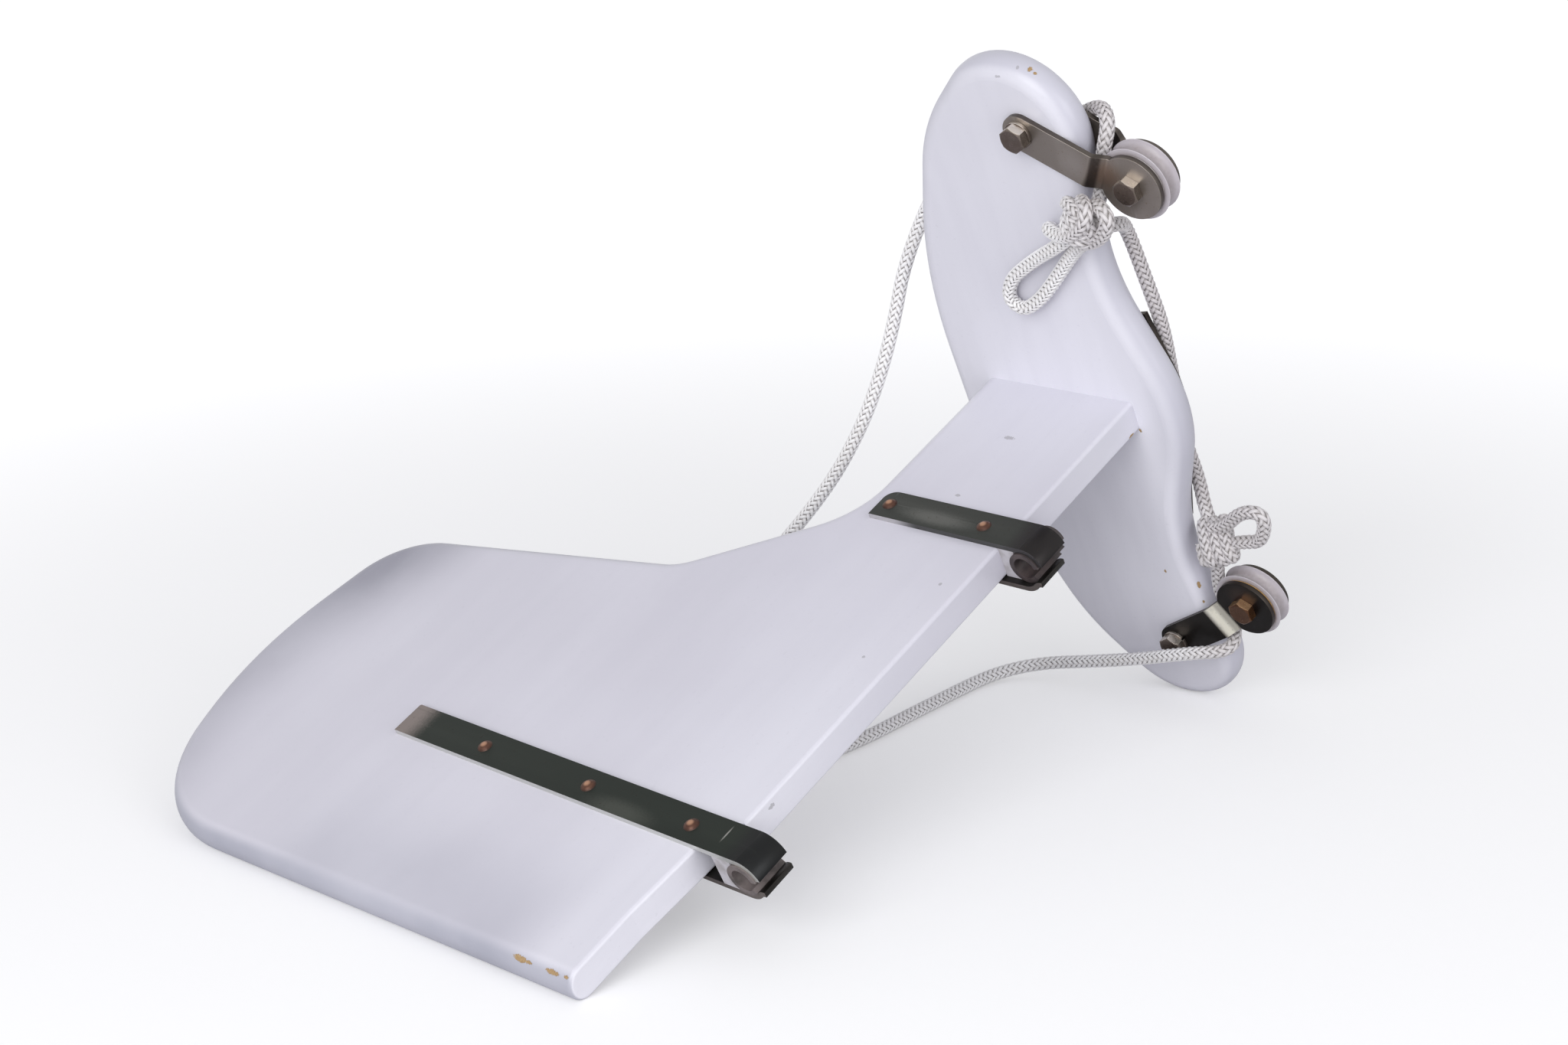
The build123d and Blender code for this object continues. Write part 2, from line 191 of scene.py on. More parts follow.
room_light = 0.52
room = bpy.data.worlds.new("room")
room.use_nodes = True
scene.world = room
air = room.node_tree.nodes["Background"]
to_camera = Coat(air.outputs[0]).add("LightPath", {}, {}, "Is Camera Ray")
glossy = to_camera.add("LightPath", {}, {}, "Is Glossy Ray")
through = to_camera.add("LightPath", {}, {}, "Is Transmission Ray")
room_seen = to_camera.maths("MAXIMUM", to_camera, to_camera.maths("MAXIMUM", glossy, through))
sky = to_camera.plain((0.965, 0.97, 1.0, 1.0)).over(room_seen, white)
brightness = room_seen * (1.0 - room_light) + room_light
room.node_tree.links.new(air.inputs["Color"], sky.socket)
room.node_tree.links.new(air.inputs["Strength"], brightness.socket)


def soft_lamp(name, place, aim, size, power):
    """Square lamp that faces a place."""
    lamp = bpy.data.objects.new(name, bpy.data.lights.new(name, "AREA"))
    lamp.data.size = size
    lamp.data.energy = power
    lamp.location = place
    lamp.rotation_euler = (Vector(aim) - Vector(place)).to_track_quat("-Z", "Y").to_euler()
    scene.collection.objects.link(lamp)


soft_lamp("wide_lamp", (0.8, -2.1, 1.1), (0.0, 0.05, 0.25), size=1.7, power=36.0)
soft_lamp("side_lamp", (2.2, -0.3, 0.8), (0.0, 0.0, 0.15), size=1.2, power=12.0)


# Blade and yoke: boards shaped by hand, the blade 18 mm thick and the yoke 20 mm, screwed across
# its head. Both are painted white with a brush, in several coats. The yoke is drawn whiter than the
# blade, and both are lighter and darker in places, as painted light and shade. The paint has chips
# down to the wood.
def spot(here, place, size, ragged=0.5, stretch=(1.0, 1.0, 1.0), fade=0.25):
    """Mask of a ragged mark of that size round an upright place, fading towards its edge."""
    far = here.vector("SUBTRACT", place).vector("DIVIDE", stretch).vector("LENGTH", out="Value")
    rough = here.noise(900.0, 3.0)
    return 1.0 - (far * (1.0 / size) + (rough - 0.5) * (2 * ragged)).between(1.0 - fade, 1.05)


def many_spots(here, marks):
    """One mask of several marks, each given by its place, size, raggedness and stretch."""
    mask = spot(here, *marks[0])
    for mark in marks[1:]:
        mask = mask.maths("MAXIMUM", mask, spot(here, *mark))
    return mask


def white_paint(name, face, painted_shading, strokes, bare, scuffs):
    """Brushed white gloss with painted light and shade, spots bare to the wood and grey scuffs."""
    material, shader, here = new_finish(name)
    cloudy = here.noise(9.0, 4.0).between(0.35, 0.7)
    brushed = here.noise(60.0, 4.0, strokes).between(0.3, 0.75)
    fine = here.noise(420.0, 2.0)
    colour = here.plain(face)
    # Painted light and shade: tones that lighten or darken the paint where light falls on the board or
    # misses it.
    for mask, tone in painted_shading(here):
        colour = colour.over(mask, tone)
    colour = colour.over(cloudy * 0.25, ink(222, 221, 231))
    colour = colour.over(brushed * 0.14, ink(190, 188, 200))
    colour = colour.over(fine.between(0.62, 0.8) * 0.16, ink(186, 184, 194))
    chipped = many_spots(here, bare)
    scuffed = many_spots(here, scuffs)
    wood = here.noise(1500.0, 3.0, strokes).between(0.3, 0.7)
    timber = here.plain(ink(176, 148, 108)).over(wood * 0.6, ink(126, 96, 62))
    colour = colour.over(scuffed * 0.6, ink(148, 145, 150)).over(chipped, timber)
    rough = brushed * 0.1 + 0.3 + chipped * 0.35 + scuffed * 0.15
    ripples = here.noise(180.0, 2.0) * 0.6 + here.noise(75.0, 3.0, strokes) * 0.8
    height = ripples - chipped * 1.6
    lay_on(shader, Base_Color=colour, Roughness=rough, Normal=grain(here, height, 0.00012))
    return material


def blade_painted_shading(here):
    """Masks and tones of painted light and shade: lighter along the leading edge and near the yoke,
    darker to the aft and bottom edges.
    """
    along, up = here.axis("X"), here.axis("Z")
    away = here.vector("DISTANCE", (-0.24, -0.009, -0.36), "Value")
    low = (1.0 - up.between(-0.43, -0.36)) * along.between(-0.27, -0.20)
    front = here.facing(0).between(0.6, 0.95) * (1.0 - up.between(-0.34, -0.22))
    # Painted light near the leading edge, near the yoke and on the front face; painted shade on the
    # lower aft part, round the aft and bottom edges, and on the bottom edge.
    return [
        (along.between(-0.11, -0.01) * (1.0 - up.between(-0.28, -0.12)), ink(216, 215, 225)),
        (up.between(-0.10, -0.03), ink(214, 213, 223)),
        (front, ink(230, 229, 238)),
        (low * (1.0 - along.between(-0.08, -0.03)), ink(186, 185, 197)),
        (away.between(0.08, 0.17) * (1.0 - along.between(-0.36, -0.29)), ink(142, 141, 154)),
        (here.facing(2).between(0.15, 0.75) * 0.95, ink(162, 163, 176)),
    ]


def yoke_painted_shading(here):
    """Masks and tones of painted light and shade: lighter across the middle, darker at the starboard
    end, along the front and on the rounded edge.
    """
    along, across = here.axis("X"), here.axis("Y")
    rim = 1.0 - here.facing(2).between(0.5, 0.98)
    # Painted shade at the starboard end and along the front, painted light across the middle, and
    # painted shade on the rounded edge.
    return [
        (1.0 - across.between(-0.21, -0.12), ink(216, 215, 224)),
        (across.between(-0.13, 0.03) * (1.0 - across.between(0.12, 0.18)), ink(233, 232, 241)),
        (along.between(0.0, 0.024) * across.between(-0.14, -0.10), ink(212, 211, 221)),
        (rim * along.between(-0.09, -0.055) * 0.95, ink(190, 189, 201)),
    ]


blade_paint = white_paint(
    "blade_paint",
    face=ink(204, 202, 213),
    painted_shading=blade_painted_shading,
    strokes=(1.0, 1.0, 0.12),
    bare=[
        ((-0.0494, -0.0072, -0.4343), 0.0020, 0.8, (2.6, 1.0, 0.7)),
        ((-0.0440, -0.0071, -0.4342), 0.0012, 0.8, (2.0, 1.0, 0.6)),
        ((-0.0280, -0.0071, -0.4337), 0.0018, 0.8, (2.4, 1.0, 0.7)),
        ((-0.0195, -0.0070, -0.4330), 0.0010, 0.8, (1.6, 1.0, 1.0)),
        ((0.0, 0.0078, -0.0075), 0.0012, 0.5, (1.0, 1.0, 2.2)),
    ],
    scuffs=[
        ((-0.0502, -0.009, -0.0442), 0.0026, 0.8, (1.4, 1.0, 0.6)),
        ((-0.0484, -0.009, -0.0936), 0.0018, 0.7, (1.0, 1.0, 0.6)),
        ((-0.0129, -0.009, -0.1560), 0.0011, 0.5),
        ((-0.0177, -0.009, -0.2138), 0.0010, 0.5),
        ((0.0, -0.0039, -0.3097), 0.0022, 0.8, (1.0, 0.6, 1.0)),
    ],
)
yoke_paint = white_paint(
    "yoke_paint",
    # The yoke's paint is drawn whiter than the blade's: painted light.
    face=ink(221, 220, 229),
    painted_shading=yoke_painted_shading,
    strokes=(1.0, 0.12, 1.0),
    bare=[
        ((-0.0066, -0.2054, 0.0075), 0.0013, 0.7, (1.0, 1.2, 1.2)),
        ((-0.0038, -0.2036, 0.0070), 0.0009, 0.7),
        ((0.0052, 0.1197, 0.0033), 0.0013, 0.7, (0.8, 2.0, 0.9)),
        ((0.0059, 0.1310, 0.0022), 0.0008, 0.7, (0.8, 1.5, 0.8)),
        ((-0.0129, 0.1115, 0.0), 0.0009, 0.7, (1.0, 1.4, 1.0)),
        ((0.0002, 0.0096, 0.0), 0.0011, 0.7, (0.8, 1.4, 1.0)),
    ],
    scuffs=[
        ((0.0214, -0.1909, 0.0), 0.0012, 0.5, (1.0, 1.0, 5.0)),
        ((-0.0122, -0.2074, 0.0053), 0.0010, 0.6, (0.8, 1.6, 1.0)),
        ((-0.0220, -0.2045, 0.0005), 0.0016, 0.8, (1.0, 0.5, 1.0)),
    ],
)
dress(["blade"], blade_paint)
dress(["yoke"], yoke_paint)


# Straps of the gudgeons and brackets, and the top plate: flat stainless bar, cut and bent cold,
# dull and dark on its faces. The near gudgeon straps have bright filed sides, drawn near white as a
# painted reflection. The port brackets and the top plate are drawn near black: painted shade. The
# gudgeons are riveted through the blade, the brackets bolted through the yoke and the top plate
# screwed to it.
def filed(node, body, material, width, flat=1e-4):
    """The node's shape with its sharp edges filed off. Faces larger than flat, in m2, stay flat."""
    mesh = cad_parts[node].data.copy()
    work = bmesh.new()
    work.from_mesh(mesh)
    bmesh.ops.remove_doubles(work, verts=work.verts, dist=2e-6)
    bmesh.ops.dissolve_limit(work, angle_limit=0.01, verts=work.verts, edges=work.edges)
    steep = math.radians(35)
    sharp = [edge for edge in work.edges if edge.is_manifold and edge.calc_face_angle(0.0) > steep]
    bmesh.ops.bevel(
        work, geom=sharp, offset=width, offset_type="OFFSET", segments=2, profile=0.5,
        affect="EDGES", clamp_overlap=True,
    )
    work.to_mesh(mesh)
    work.free()
    mesh.materials.clear()
    mesh.materials.append(material)
    mesh.shade_smooth()
    mesh.set_sharp_from_angle(angle=math.radians(40))
    for face in mesh.polygons:
        face.use_smooth = face.area < flat
    piece = bpy.data.objects.new(node + "_filed", mesh)
    scene.collection.objects.link(piece)
    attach(piece, body)
    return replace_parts(piece, node)


def stripe(here, start, angle, low, high, fade=0.0008):
    """Mask of the band across a strap between two distances from a place, along an upright angle."""
    ahead = (math.cos(math.radians(angle)), math.sin(math.radians(angle)), 0.0)
    along = here.vector("SUBTRACT", (*start, 0.0)).vector("DOT_PRODUCT", ahead, "Value")
    return along.between(low - fade, low + fade) * (1.0 - along.between(high - fade, high + fade))


lengthwise = (0.05, 1.0, 1.0)


def bar_steel(name, face, light, side, rust, streaks, marks=(), stripes=(), dark_from=1.0):
    """Dull steel bar: rub marks, marks and stripes of stain, painted highlight and painted shade, brown
    specks, and sides darkened past an x as painted shade.
    """
    material, shader, here = new_finish(name)
    rubbed = here.noise(260.0, 4.0, streaks)
    cloudy = here.noise(38.0, 4.0, streaks).between(0.4, 0.75)
    specks = here.noise(700.0, 3.0).between(0.64, 0.74)
    sides = here.facing(2)
    colour = here.plain(face).over(cloudy * 0.5, light)
    for place, size, stretch, tone, strength in marks:
        colour = colour.over(spot(here, place, size, 0.15, stretch, 0.8) * strength, tone)
    for start, angle, low, high, fade, tone, strength in stripes:
        colour = colour.over(stripe(here, start, angle, low, high, fade) * strength, tone)
    colour = colour.over(specks * 0.35, rust).over(rubbed.between(0.6, 0.78) * 0.25, light)
    # The sides of the gudgeon straps face along the pivot axis, and those of the brackets across it.
    edge = sides.between(0.55, 0.9) if streaks == lengthwise else 1.0 - sides.between(0.2, 0.5)
    # Past dark_from the sides are darkened: painted shade.
    edge = edge * (1.0 - here.axis("X").between(dark_from - 0.01, dark_from + 0.01) * 0.9)
    colour = colour.over(edge * 0.8, side)
    rough = rubbed * 0.14 + specks * 0.2 + 0.3
    lay_on(shader, Base_Color=colour, Roughness=rough, Metallic=0.85)
    lay_on(shader, Normal=grain(here, rubbed * 0.5 + specks * 0.5, 0.00005))
    return material


upper_steel = bar_steel(
    "upper_gudgeon_steel",
    face=ink(54, 56, 53), light=ink(82, 82, 79), side=ink(226, 224, 224), rust=ink(58, 48, 38),
    streaks=lengthwise,
    # The pale patch on the aft part is a painted highlight, the dark band over the curl painted shade,
    # and the sides past dark_from painted shade.
    marks=[((-0.0450, -0.012, -0.1160), 0.0300, (1.0, 1.0, 0.22), ink(108, 108, 105), 0.6)],
    stripes=[((0.0, 0.0), 0.0, 0.0080, 0.0400, 0.0060, ink(40, 37, 38), 0.92)],
    dark_from=-0.062,
)
lower_steel = bar_steel(
    "lower_gudgeon_steel",
    face=ink(37, 42, 38), light=ink(50, 55, 50), side=ink(230, 231, 226), rust=ink(48, 40, 34),
    streaks=lengthwise,
    marks=[
        # The pale patch at the aft end is a painted reflection, and the narrow bright line at the start
        # of the curl a painted highlight.
        ((-0.2330, -0.012, -0.3395), 0.0300, (0.6, 1.0, 2.0), ink(134, 124, 121), 0.9),
        ((-0.0650, -0.012, -0.3470), 0.0180, (1.6, 1.0, 0.5), ink(92, 94, 88), 0.4),
        ((-0.0010, -0.012, -0.3375), 0.0055, (0.12, 1.0, 1.1), ink(176, 174, 170), 0.6),
    ],
    # The dark band over the curl is painted shade.
    stripes=[((0.0, 0.0), 0.0, 0.0080, 0.0400, 0.0060, ink(34, 34, 36), 0.85)],
)
far_steel = bar_steel(
    "far_gudgeon_steel",
    face=ink(46, 44, 42), light=ink(72, 68, 64), side=ink(126, 117, 112), rust=ink(58, 48, 38),
    streaks=lengthwise,
)
starboard_bolt = (-0.0165, -0.1744)
starboard_angle = 27.5
starboard_steel = bar_steel(
    "starboard_steel",
    face=ink(140, 132, 125), light=ink(168, 160, 153), side=ink(70, 64, 60), rust=ink(112, 84, 60),
    streaks=(1.0, 0.3, 1.0),
    marks=[
        ((0.0262, -0.1525, 0.0015), 0.0120, (1.0, 1.0, 1.0), ink(128, 98, 78), 0.55),
        # A paler patch beside the joggle: a painted sheen.
        ((0.0120, -0.1600, 0.0015), 0.0120, (1.0, 1.0, 1.0), ink(170, 162, 156), 0.5),
    ],
    # The dark band at the joggle is painted shade on its slope.
    stripes=[(starboard_bolt, starboard_angle, 0.0402, 0.0448, 0.0010, ink(50, 42, 40), 0.85)],
)
port_bolt = (-0.0178, 0.1629)
port_angle = -34.0
shaded_steel = bar_steel(
    "shaded_steel",
    # Its near-black face is painted shade: these brackets and the top plate are the same steel as the
    # starboard brackets, drawn much darker.
    face=ink(30, 27, 26), light=ink(48, 44, 42), side=ink(70, 64, 60), rust=ink(66, 48, 34),
    streaks=(0.3, 0.3, 1.0),
    # A paler patch on the disc: a painted sheen.
    marks=[((0.0340, 0.1200, 0.0), 0.0110, (1.0, 1.0, 1.0), ink(88, 72, 66), 0.4)],
    # The bright bands at the joggle are a painted highlight on its slope.
    stripes=[
        (port_bolt, port_angle, 0.0385, 0.0480, 0.0010, ink(190, 186, 174), 0.95),
        (port_bolt, port_angle, 0.0400, 0.0445, 0.0012, ink(246, 242, 226), 0.95),
    ],
)
for level, steel in (("upper", upper_steel), ("lower", lower_steel)):
    filed(level + "_gudgeon_starboard_strap", "rudder", steel, width=0.00035)
    filed(level + "_gudgeon_port_strap", "rudder", far_steel, width=0.00035)
filed("top_plate", "rudder", shaded_steel, width=0.0004)
for part in ("upper_strap", "lower_strap"):
    filed("starboard_bracket_" + part, "rudder", starboard_steel, width=0.0004)
    filed("port_bracket_" + part, "rudder", shaded_steel, width=0.0004)


# Packing blocks and split bushes: the blocks are cut from pale plastic and sit between the straps.
# The upper bush is black nylon and the lower one grey, each sprung into its curled strap.
def moulded(name, face, dirt, dirty, rough):
    """Cut plastic with saw marks and dirt in it."""
    material, shader, here = new_finish(name)
    marks = here.noise(300.0, 4.0, (1.0, 1.0, 0.2))
    grime = here.noise(120.0, 5.0).between(0.4, 0.7)
    colour = here.plain(face).over(grime * dirty, dirt)
    lay_on(shader, Base_Color=colour, Roughness=rough + marks * 0.2, Normal=grain(here, marks, 0.0001))
    return material


packing = moulded("packing", face=ink(190, 187, 193), dirt=ink(124, 117, 112), dirty=0.5, rough=0.4)
black_bush = moulded("black_bush", face=ink(58, 51, 52), dirt=ink(92, 80, 79), dirty=0.6, rough=0.35)
grey_bush = moulded("grey_bush", face=ink(112, 103, 102), dirt=ink(48, 43, 41), dirty=0.7, rough=0.4)
dress(["upper_packing_block", "lower_packing_block"], packing)
dress(["upper_bush"], black_bush)
dress(["lower_bush"], grey_bush)


# Copper rivets: cut from rod, put through both straps and the blade, and hammered to a dome at
# each end. They are brown with age, with painted shade at the foot of the head and a painted
# highlight on its crown.
def aged_metal(name, face, dark, glint, metallic, rough):
    """Old bare metal, blotched, with rubbed places. Its nodes are given back for more to be laid on."""
    material, shader, here = new_finish(name)
    blotch = here.noise(260.0, 3.0).between(0.35, 0.7)
    shine = here.noise(140.0, 2.0).between(0.5, 0.7)
    colour = here.plain(face).over(blotch * 0.7, dark).over(shine * 0.5, glint)
    lay_on(shader, Base_Color=colour, Roughness=rough + blotch * 0.2, Metallic=metallic)
    lay_on(shader, Normal=grain(here, here.noise(900.0, 2.0), 0.00004))
    return material, shader, here, colour


def dark_top_painted_facets(finish, top, bright):
    """The finish of a bolt: its head darker on top, and its facets that face across the rudder painted
    bright, a painted reflection.
    """
    material, shader, here, colour = finish
    # Painted reflection: the facets that face across the rudder are drawn bright.
    colour = colour.over(here.facing(1).between(0.55, 0.9) * 0.75, bright)
    lay_on(shader, Base_Color=colour.over(here.facing(2).between(0.75, 0.95) * 0.8, top))
    return material


copper, copper_shader, copper_here, copper_colour = aged_metal(
    "copper", ink(86, 56, 44), ink(64, 40, 32), ink(100, 68, 52), metallic=0.6, rough=0.35,
)
# Distances from the middle of the blade at which the foot and the crown of the rivet heads fade in.
head_foot = (0.0121, 0.0131)
head_crown = (0.0134, 0.0139)
from_middle = abs(copper_here.axis("Y"))
# Painted shade at the foot of each head, where it meets the strap.
copper_colour = copper_colour.over((1.0 - from_middle.between(*head_foot)) * 0.8, ink(52, 34, 28))
# Painted highlight on the crown of each head.
copper_colour = copper_colour.over(from_middle.between(*head_crown) * 0.6, ink(206, 158, 128))
lay_on(copper_shader, Base_Color=copper_colour)
dress(["upper_rivets", "lower_rivets"], copper)

# Screws: brass wood screws that are driven through the yoke into the head of the blade, and steel
# ones that hold the top plate to the yoke's far face. Their heads are worn and dull.
screw_brass, *_ = aged_metal(
    "screw_brass", ink(168, 150, 108), ink(120, 104, 70), ink(200, 190, 170), metallic=0.8, rough=0.35,
)
screw_steel, *_ = aged_metal(
    "screw_steel", ink(128, 124, 116), ink(84, 80, 74), ink(190, 188, 182), metallic=0.85, rough=0.32,
)
dress(["yoke_screws"], screw_brass)
dress(["top_plate_screws"], screw_steel)

# Bolts, nuts and washers: forged hexagons of zinc-plated steel, gone brown, with worn corners. One
# bolt holds each bracket to its arm, and one carries each sheave. The port sheave's is bronze.
zinc = aged_metal(
    "bolt_zinc", ink(132, 122, 114), ink(92, 82, 74), ink(170, 160, 150), metallic=0.85, rough=0.25,
)
bronze = aged_metal(
    "bolt_bronze", ink(112, 76, 50), ink(72, 48, 36), ink(150, 110, 76), metallic=0.8, rough=0.25,
)
bolt_zinc = dark_top_painted_facets(zinc, top=ink(98, 86, 80), bright=ink(226, 218, 208))
bolt_bronze = dark_top_painted_facets(bronze, top=ink(84, 60, 46), bright=ink(206, 168, 130))
hexagon_flat = 1.5e-5
for hand, axle in (("starboard", bolt_zinc), ("port", bolt_bronze)):
    filed(hand + "_bracket_bolt", "rudder", bolt_zinc, width=0.0003, flat=hexagon_flat)
    filed(hand + "_bracket_nut", "rudder", bolt_zinc, width=0.0003, flat=hexagon_flat)
    filed(hand + "_bracket_washers", "rudder", bolt_zinc, width=0.0002)
    filed(hand + "_sheave_bolt", "rudder", axle, width=0.0003, flat=hexagon_flat)
    filed(hand + "_sheave_nut", "rudder", axle, width=0.0003, flat=hexagon_flat)


# Sheaves: white nylon wheels turned on a lathe, their groove darker, partly greyed by the line and
# partly painted shade. Each runs on its bolt between two thrust rings, pale plastic to starboard and
# bronze to port.
sheave_axles = ((0.03894, -0.14554), (0.03401, 0.12795))
groove_floor = (0.0155, 0.0160)
groove_side = (0.0166, 0.0192)


def turned_nylon(name):
    """White nylon with lathe lines, and a darker groove, partly wear and partly painted shade."""
    material, shader, here = new_finish(name)
    cloudy = here.noise(70.0, 4.0).between(0.35, 0.7)
    marks = here.noise(500.0, 4.0)
    colour = here.plain(ink(190, 184, 190)).over(cloudy * 0.5, ink(180, 173, 179))
    colour = colour.over(marks.between(0.6, 0.72) * 0.3, ink(168, 160, 160))
    for axle in sheave_axles:
        reach = here.vector("MULTIPLY", (1.0, 1.0, 0.0)).vector("DISTANCE", (*axle, 0.0), "Value")
        # The groove is drawn darker: partly grey from the line, partly painted shade in the hollow.
        groove = (1.0 - reach.between(*groove_side)) * reach.between(*groove_floor)
        colour = colour.over(groove * (marks * 0.5 + 0.35), ink(140, 130, 130))
    lay_on(shader, Base_Color=colour, Roughness=cloudy * 0.12 + 0.3, Normal=grain(here, marks, 0.00005))
    return material


sheave_nylon = turned_nylon("sheave_nylon")
filed("starboard_sheave", "starboard_wheel", sheave_nylon, width=0.0004)
filed("port_sheave", "port_wheel", sheave_nylon, width=0.0004)
pale_ring = moulded("pale_ring", face=ink(206, 202, 200), dirt=ink(150, 142, 130), dirty=0.5, rough=0.35)
bronze_ring, *_ = aged_metal(
    "bronze_ring", ink(222, 172, 88), ink(176, 126, 56), ink(238, 200, 130), metallic=0.6, rough=0.35,
)
dress(["starboard_thrust_rings"], pale_ring)
dress(["port_thrust_rings"], bronze_ring)


# Steering line: 8 mm white polyester cord, plaited from sixteen strands round a core, eight each
# way. One length runs from knot to knot, over the yoke, down behind the blade and back along the
# floor. A short one crosses between the knots behind the yoke's front edge.
cord_radius = 0.004
core_radius = cord_radius - 0.00105
end_radius = cord_radius - 0.0003
strands = 8
plait_pitch = 0.031
strand_half = 0.00086
strand_height = 0.00058
strand_level = cord_radius - 0.00085
strand_rise = 0.00034
strand_section = ((-1.0, 0.0), (-0.5, 0.75), (0.5, 0.75), (1.0, 0.0))
ring_angles = np.linspace(0.0, 2 * math.pi, 13)
row_step = 0.00097


def down(points):
    """Upright places in millimetres, laid down with the rudder, in metres."""
    return [laid @ (Vector(point) / 1000) for point in points]


def route(name, points):
    """Evenly spaced points of the smooth line past some points."""
    curve = bpy.data.curves.new(name, "CURVE")
    curve.dimensions = "3D"
    curve.resolution_u = 40
    spline = curve.splines.new("NURBS")
    spline.points.add(len(points) - 1)
    for point, place in zip(spline.points, points):
        point.co = (*place, 1.0)
    spline.order_u = 3
    spline.use_endpoint_u = True
    line = bpy.data.meshes.new_from_object(bpy.data.objects.new(name, curve))
    fine = np.array([vertex.co for vertex in line.vertices])
    along = np.concatenate([[0.0], np.cumsum(np.linalg.norm(np.diff(fine, axis=0), axis=1))])
    steps = np.linspace(0.0, along[-1], max(8, int(along[-1] / row_step)))
    return np.stack([np.interp(steps, along, fine[:, k]) for k in range(3)], axis=1)


def sides_of(line):
    """Two directions across each point of a line that don't twist along it."""
    ahead = np.gradient(line, axis=0)
    ahead /= np.linalg.norm(ahead, axis=1)[:, None]
    side = np.cross(ahead[0], (0.0, 0.0, 1.0) if abs(ahead[0][2]) < 0.9 else (1.0, 0.0, 0.0))
    sides = []
    for way in ahead:
        side = side - way * side.dot(way)
        side = side / np.linalg.norm(side)
        sides.append(side)
    sides = np.array(sides)
    return sides, np.cross(ahead, sides)


def strips_of(along):
    """Core and strands over some lengths along a cord: the angle, radius and height of each edge."""
    core = [
        (np.full_like(along, angle), np.full_like(along, core_radius), np.zeros_like(along))
        for angle in ring_angles
    ]
    slope = math.cos(math.atan(2 * math.pi * cord_radius / plait_pitch))
    strips = [core]
    for hand in (1, -1):
        for number in range(strands):
            turn = hand * 2 * math.pi * along / plait_pitch + 2 * math.pi * number / strands
            phase = math.pi * number + hand * strands * math.pi * along / plait_pitch
            wave = hand * np.cos(phase - math.pi / 4)
            middle = strand_level + strand_rise * wave
            lean = strand_half / middle / slope
            strip = []
            for across, rise in strand_section:
                height = 0.5 + 0.5 * wave * (0.4 + 0.6 * rise)
                strip.append((turn + across * lean, middle + rise * strand_height, height))
            strips.append(strip)
    return strips


def plait(lines):
    """Mesh of plaited cord along lines: the core, and strands that pass over two and under two."""
    corners, faces, heights, places = [], [], [], []
    for line in lines:
        side, other = sides_of(line)
        along = np.concatenate([[0.0], np.cumsum(np.linalg.norm(np.diff(line, axis=0), axis=1))])
        for strip in strips_of(along):
            first = len(corners)
            wide = len(strip)
            edges = []
            for angle, radius, _ in strip:
                sideways = side * (np.cos(angle) * radius)[:, None]
                edges.append(line + sideways + other * (np.sin(angle) * radius)[:, None])
            for row in range(len(line)):
                for k in range(wide):
                    corners.append(edges[k][row])
                    heights.append(float(strip[k][2][row]))
                    places.append((k / (wide - 1), along[row] / plait_pitch))
            for row in range(len(line) - 1):
                for k in range(wide - 1):
                    a = first + row * wide + k
                    faces.append((a, a + 1, a + wide + 1, a + wide))
        for end in (0, -1):
            first = len(corners)
            for angle in ring_angles[:-1]:
                rim = side[end] * math.cos(angle) + other[end] * math.sin(angle)
                corners.append(line[end] + rim * end_radius)
                heights.append(0.4)
                places.append((0.5, 0.0))
            faces.append(tuple(range(first, len(corners))))
    return corners, faces, heights, places


def cord_finish():
    """White polyester: bright high strands of fine threads, with painted shade on their low parts, in
    the dark gaps and on the cord near the knots and behind the yoke.
    """
    material, shader, here = new_finish("plaited_cord")
    height = here.add("Attribute", {"attribute_name": "height"}, {}, "Fac")
    threads = here.add("UVMap", {}, {}).noise(1.0, 2.0, (9.0, 5.0, 1.0))
    dirt = here.noise(60.0, 4.0).between(0.4, 0.75)
    # Painted shade: the cord is drawn darker near the knots, by the yoke's front edge and behind the
    # yoke.
    at_knots = here.axis("X").between(-0.005, 0.022) * 0.85
    behind = here.axis("Z").between(0.012, 0.022) * here.axis("X").between(-0.005, 0.008)
    rope_in_shade = here.maths("MAXIMUM", at_knots, behind)
    high = here.plain(ink(248, 247, 248)).over(rope_in_shade, ink(206, 201, 203))
    low = here.plain(ink(214, 211, 211)).over(rope_in_shade, ink(160, 154, 155))
    # The gaps show the core, drawn dark: partly its own colour and partly painted shade between the
    # strands. The low parts of the strands are painted shade too.
    gaps = here.plain(ink(84, 80, 76))
    colour = gaps.over(height.between(0.1, 0.5), low).over(height.between(0.45, 0.8), high)
    colour = colour.over(threads.between(0.45, 0.7) * 0.25, ink(196, 192, 194))
    colour = colour.over(dirt * 0.14, ink(196, 190, 182))
    lay_on(shader, Base_Color=colour, Roughness=0.5, Normal=grain(here, threads, 0.00012))
    return material


rope_white = cord_finish()


def cord_piece(name, lines, *nodes):
    """Plaited cord along lines, standing for CAD nodes."""
    corners, faces, heights, places = plait(lines)
    mesh = bpy.data.meshes.new(name)
    mesh.from_pydata(corners, [], faces)
    height = mesh.attributes.new("height", "FLOAT", "POINT")
    height.data.foreach_set("value", np.array(heights, np.float32))
    layer = mesh.uv_layers.new(name="UVMap")
    corner_of = np.zeros(len(mesh.loops), np.int32)
    mesh.loops.foreach_get("vertex_index", corner_of)
    layer.data.foreach_set("uv", np.array(places, np.float32)[corner_of].ravel())
    mesh.materials.append(rope_white)
    mesh.shade_smooth()
    piece = bpy.data.objects.new(name, mesh)
    scene.collection.objects.link(piece)
    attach(piece, "rudder")
    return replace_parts(piece, *nodes)


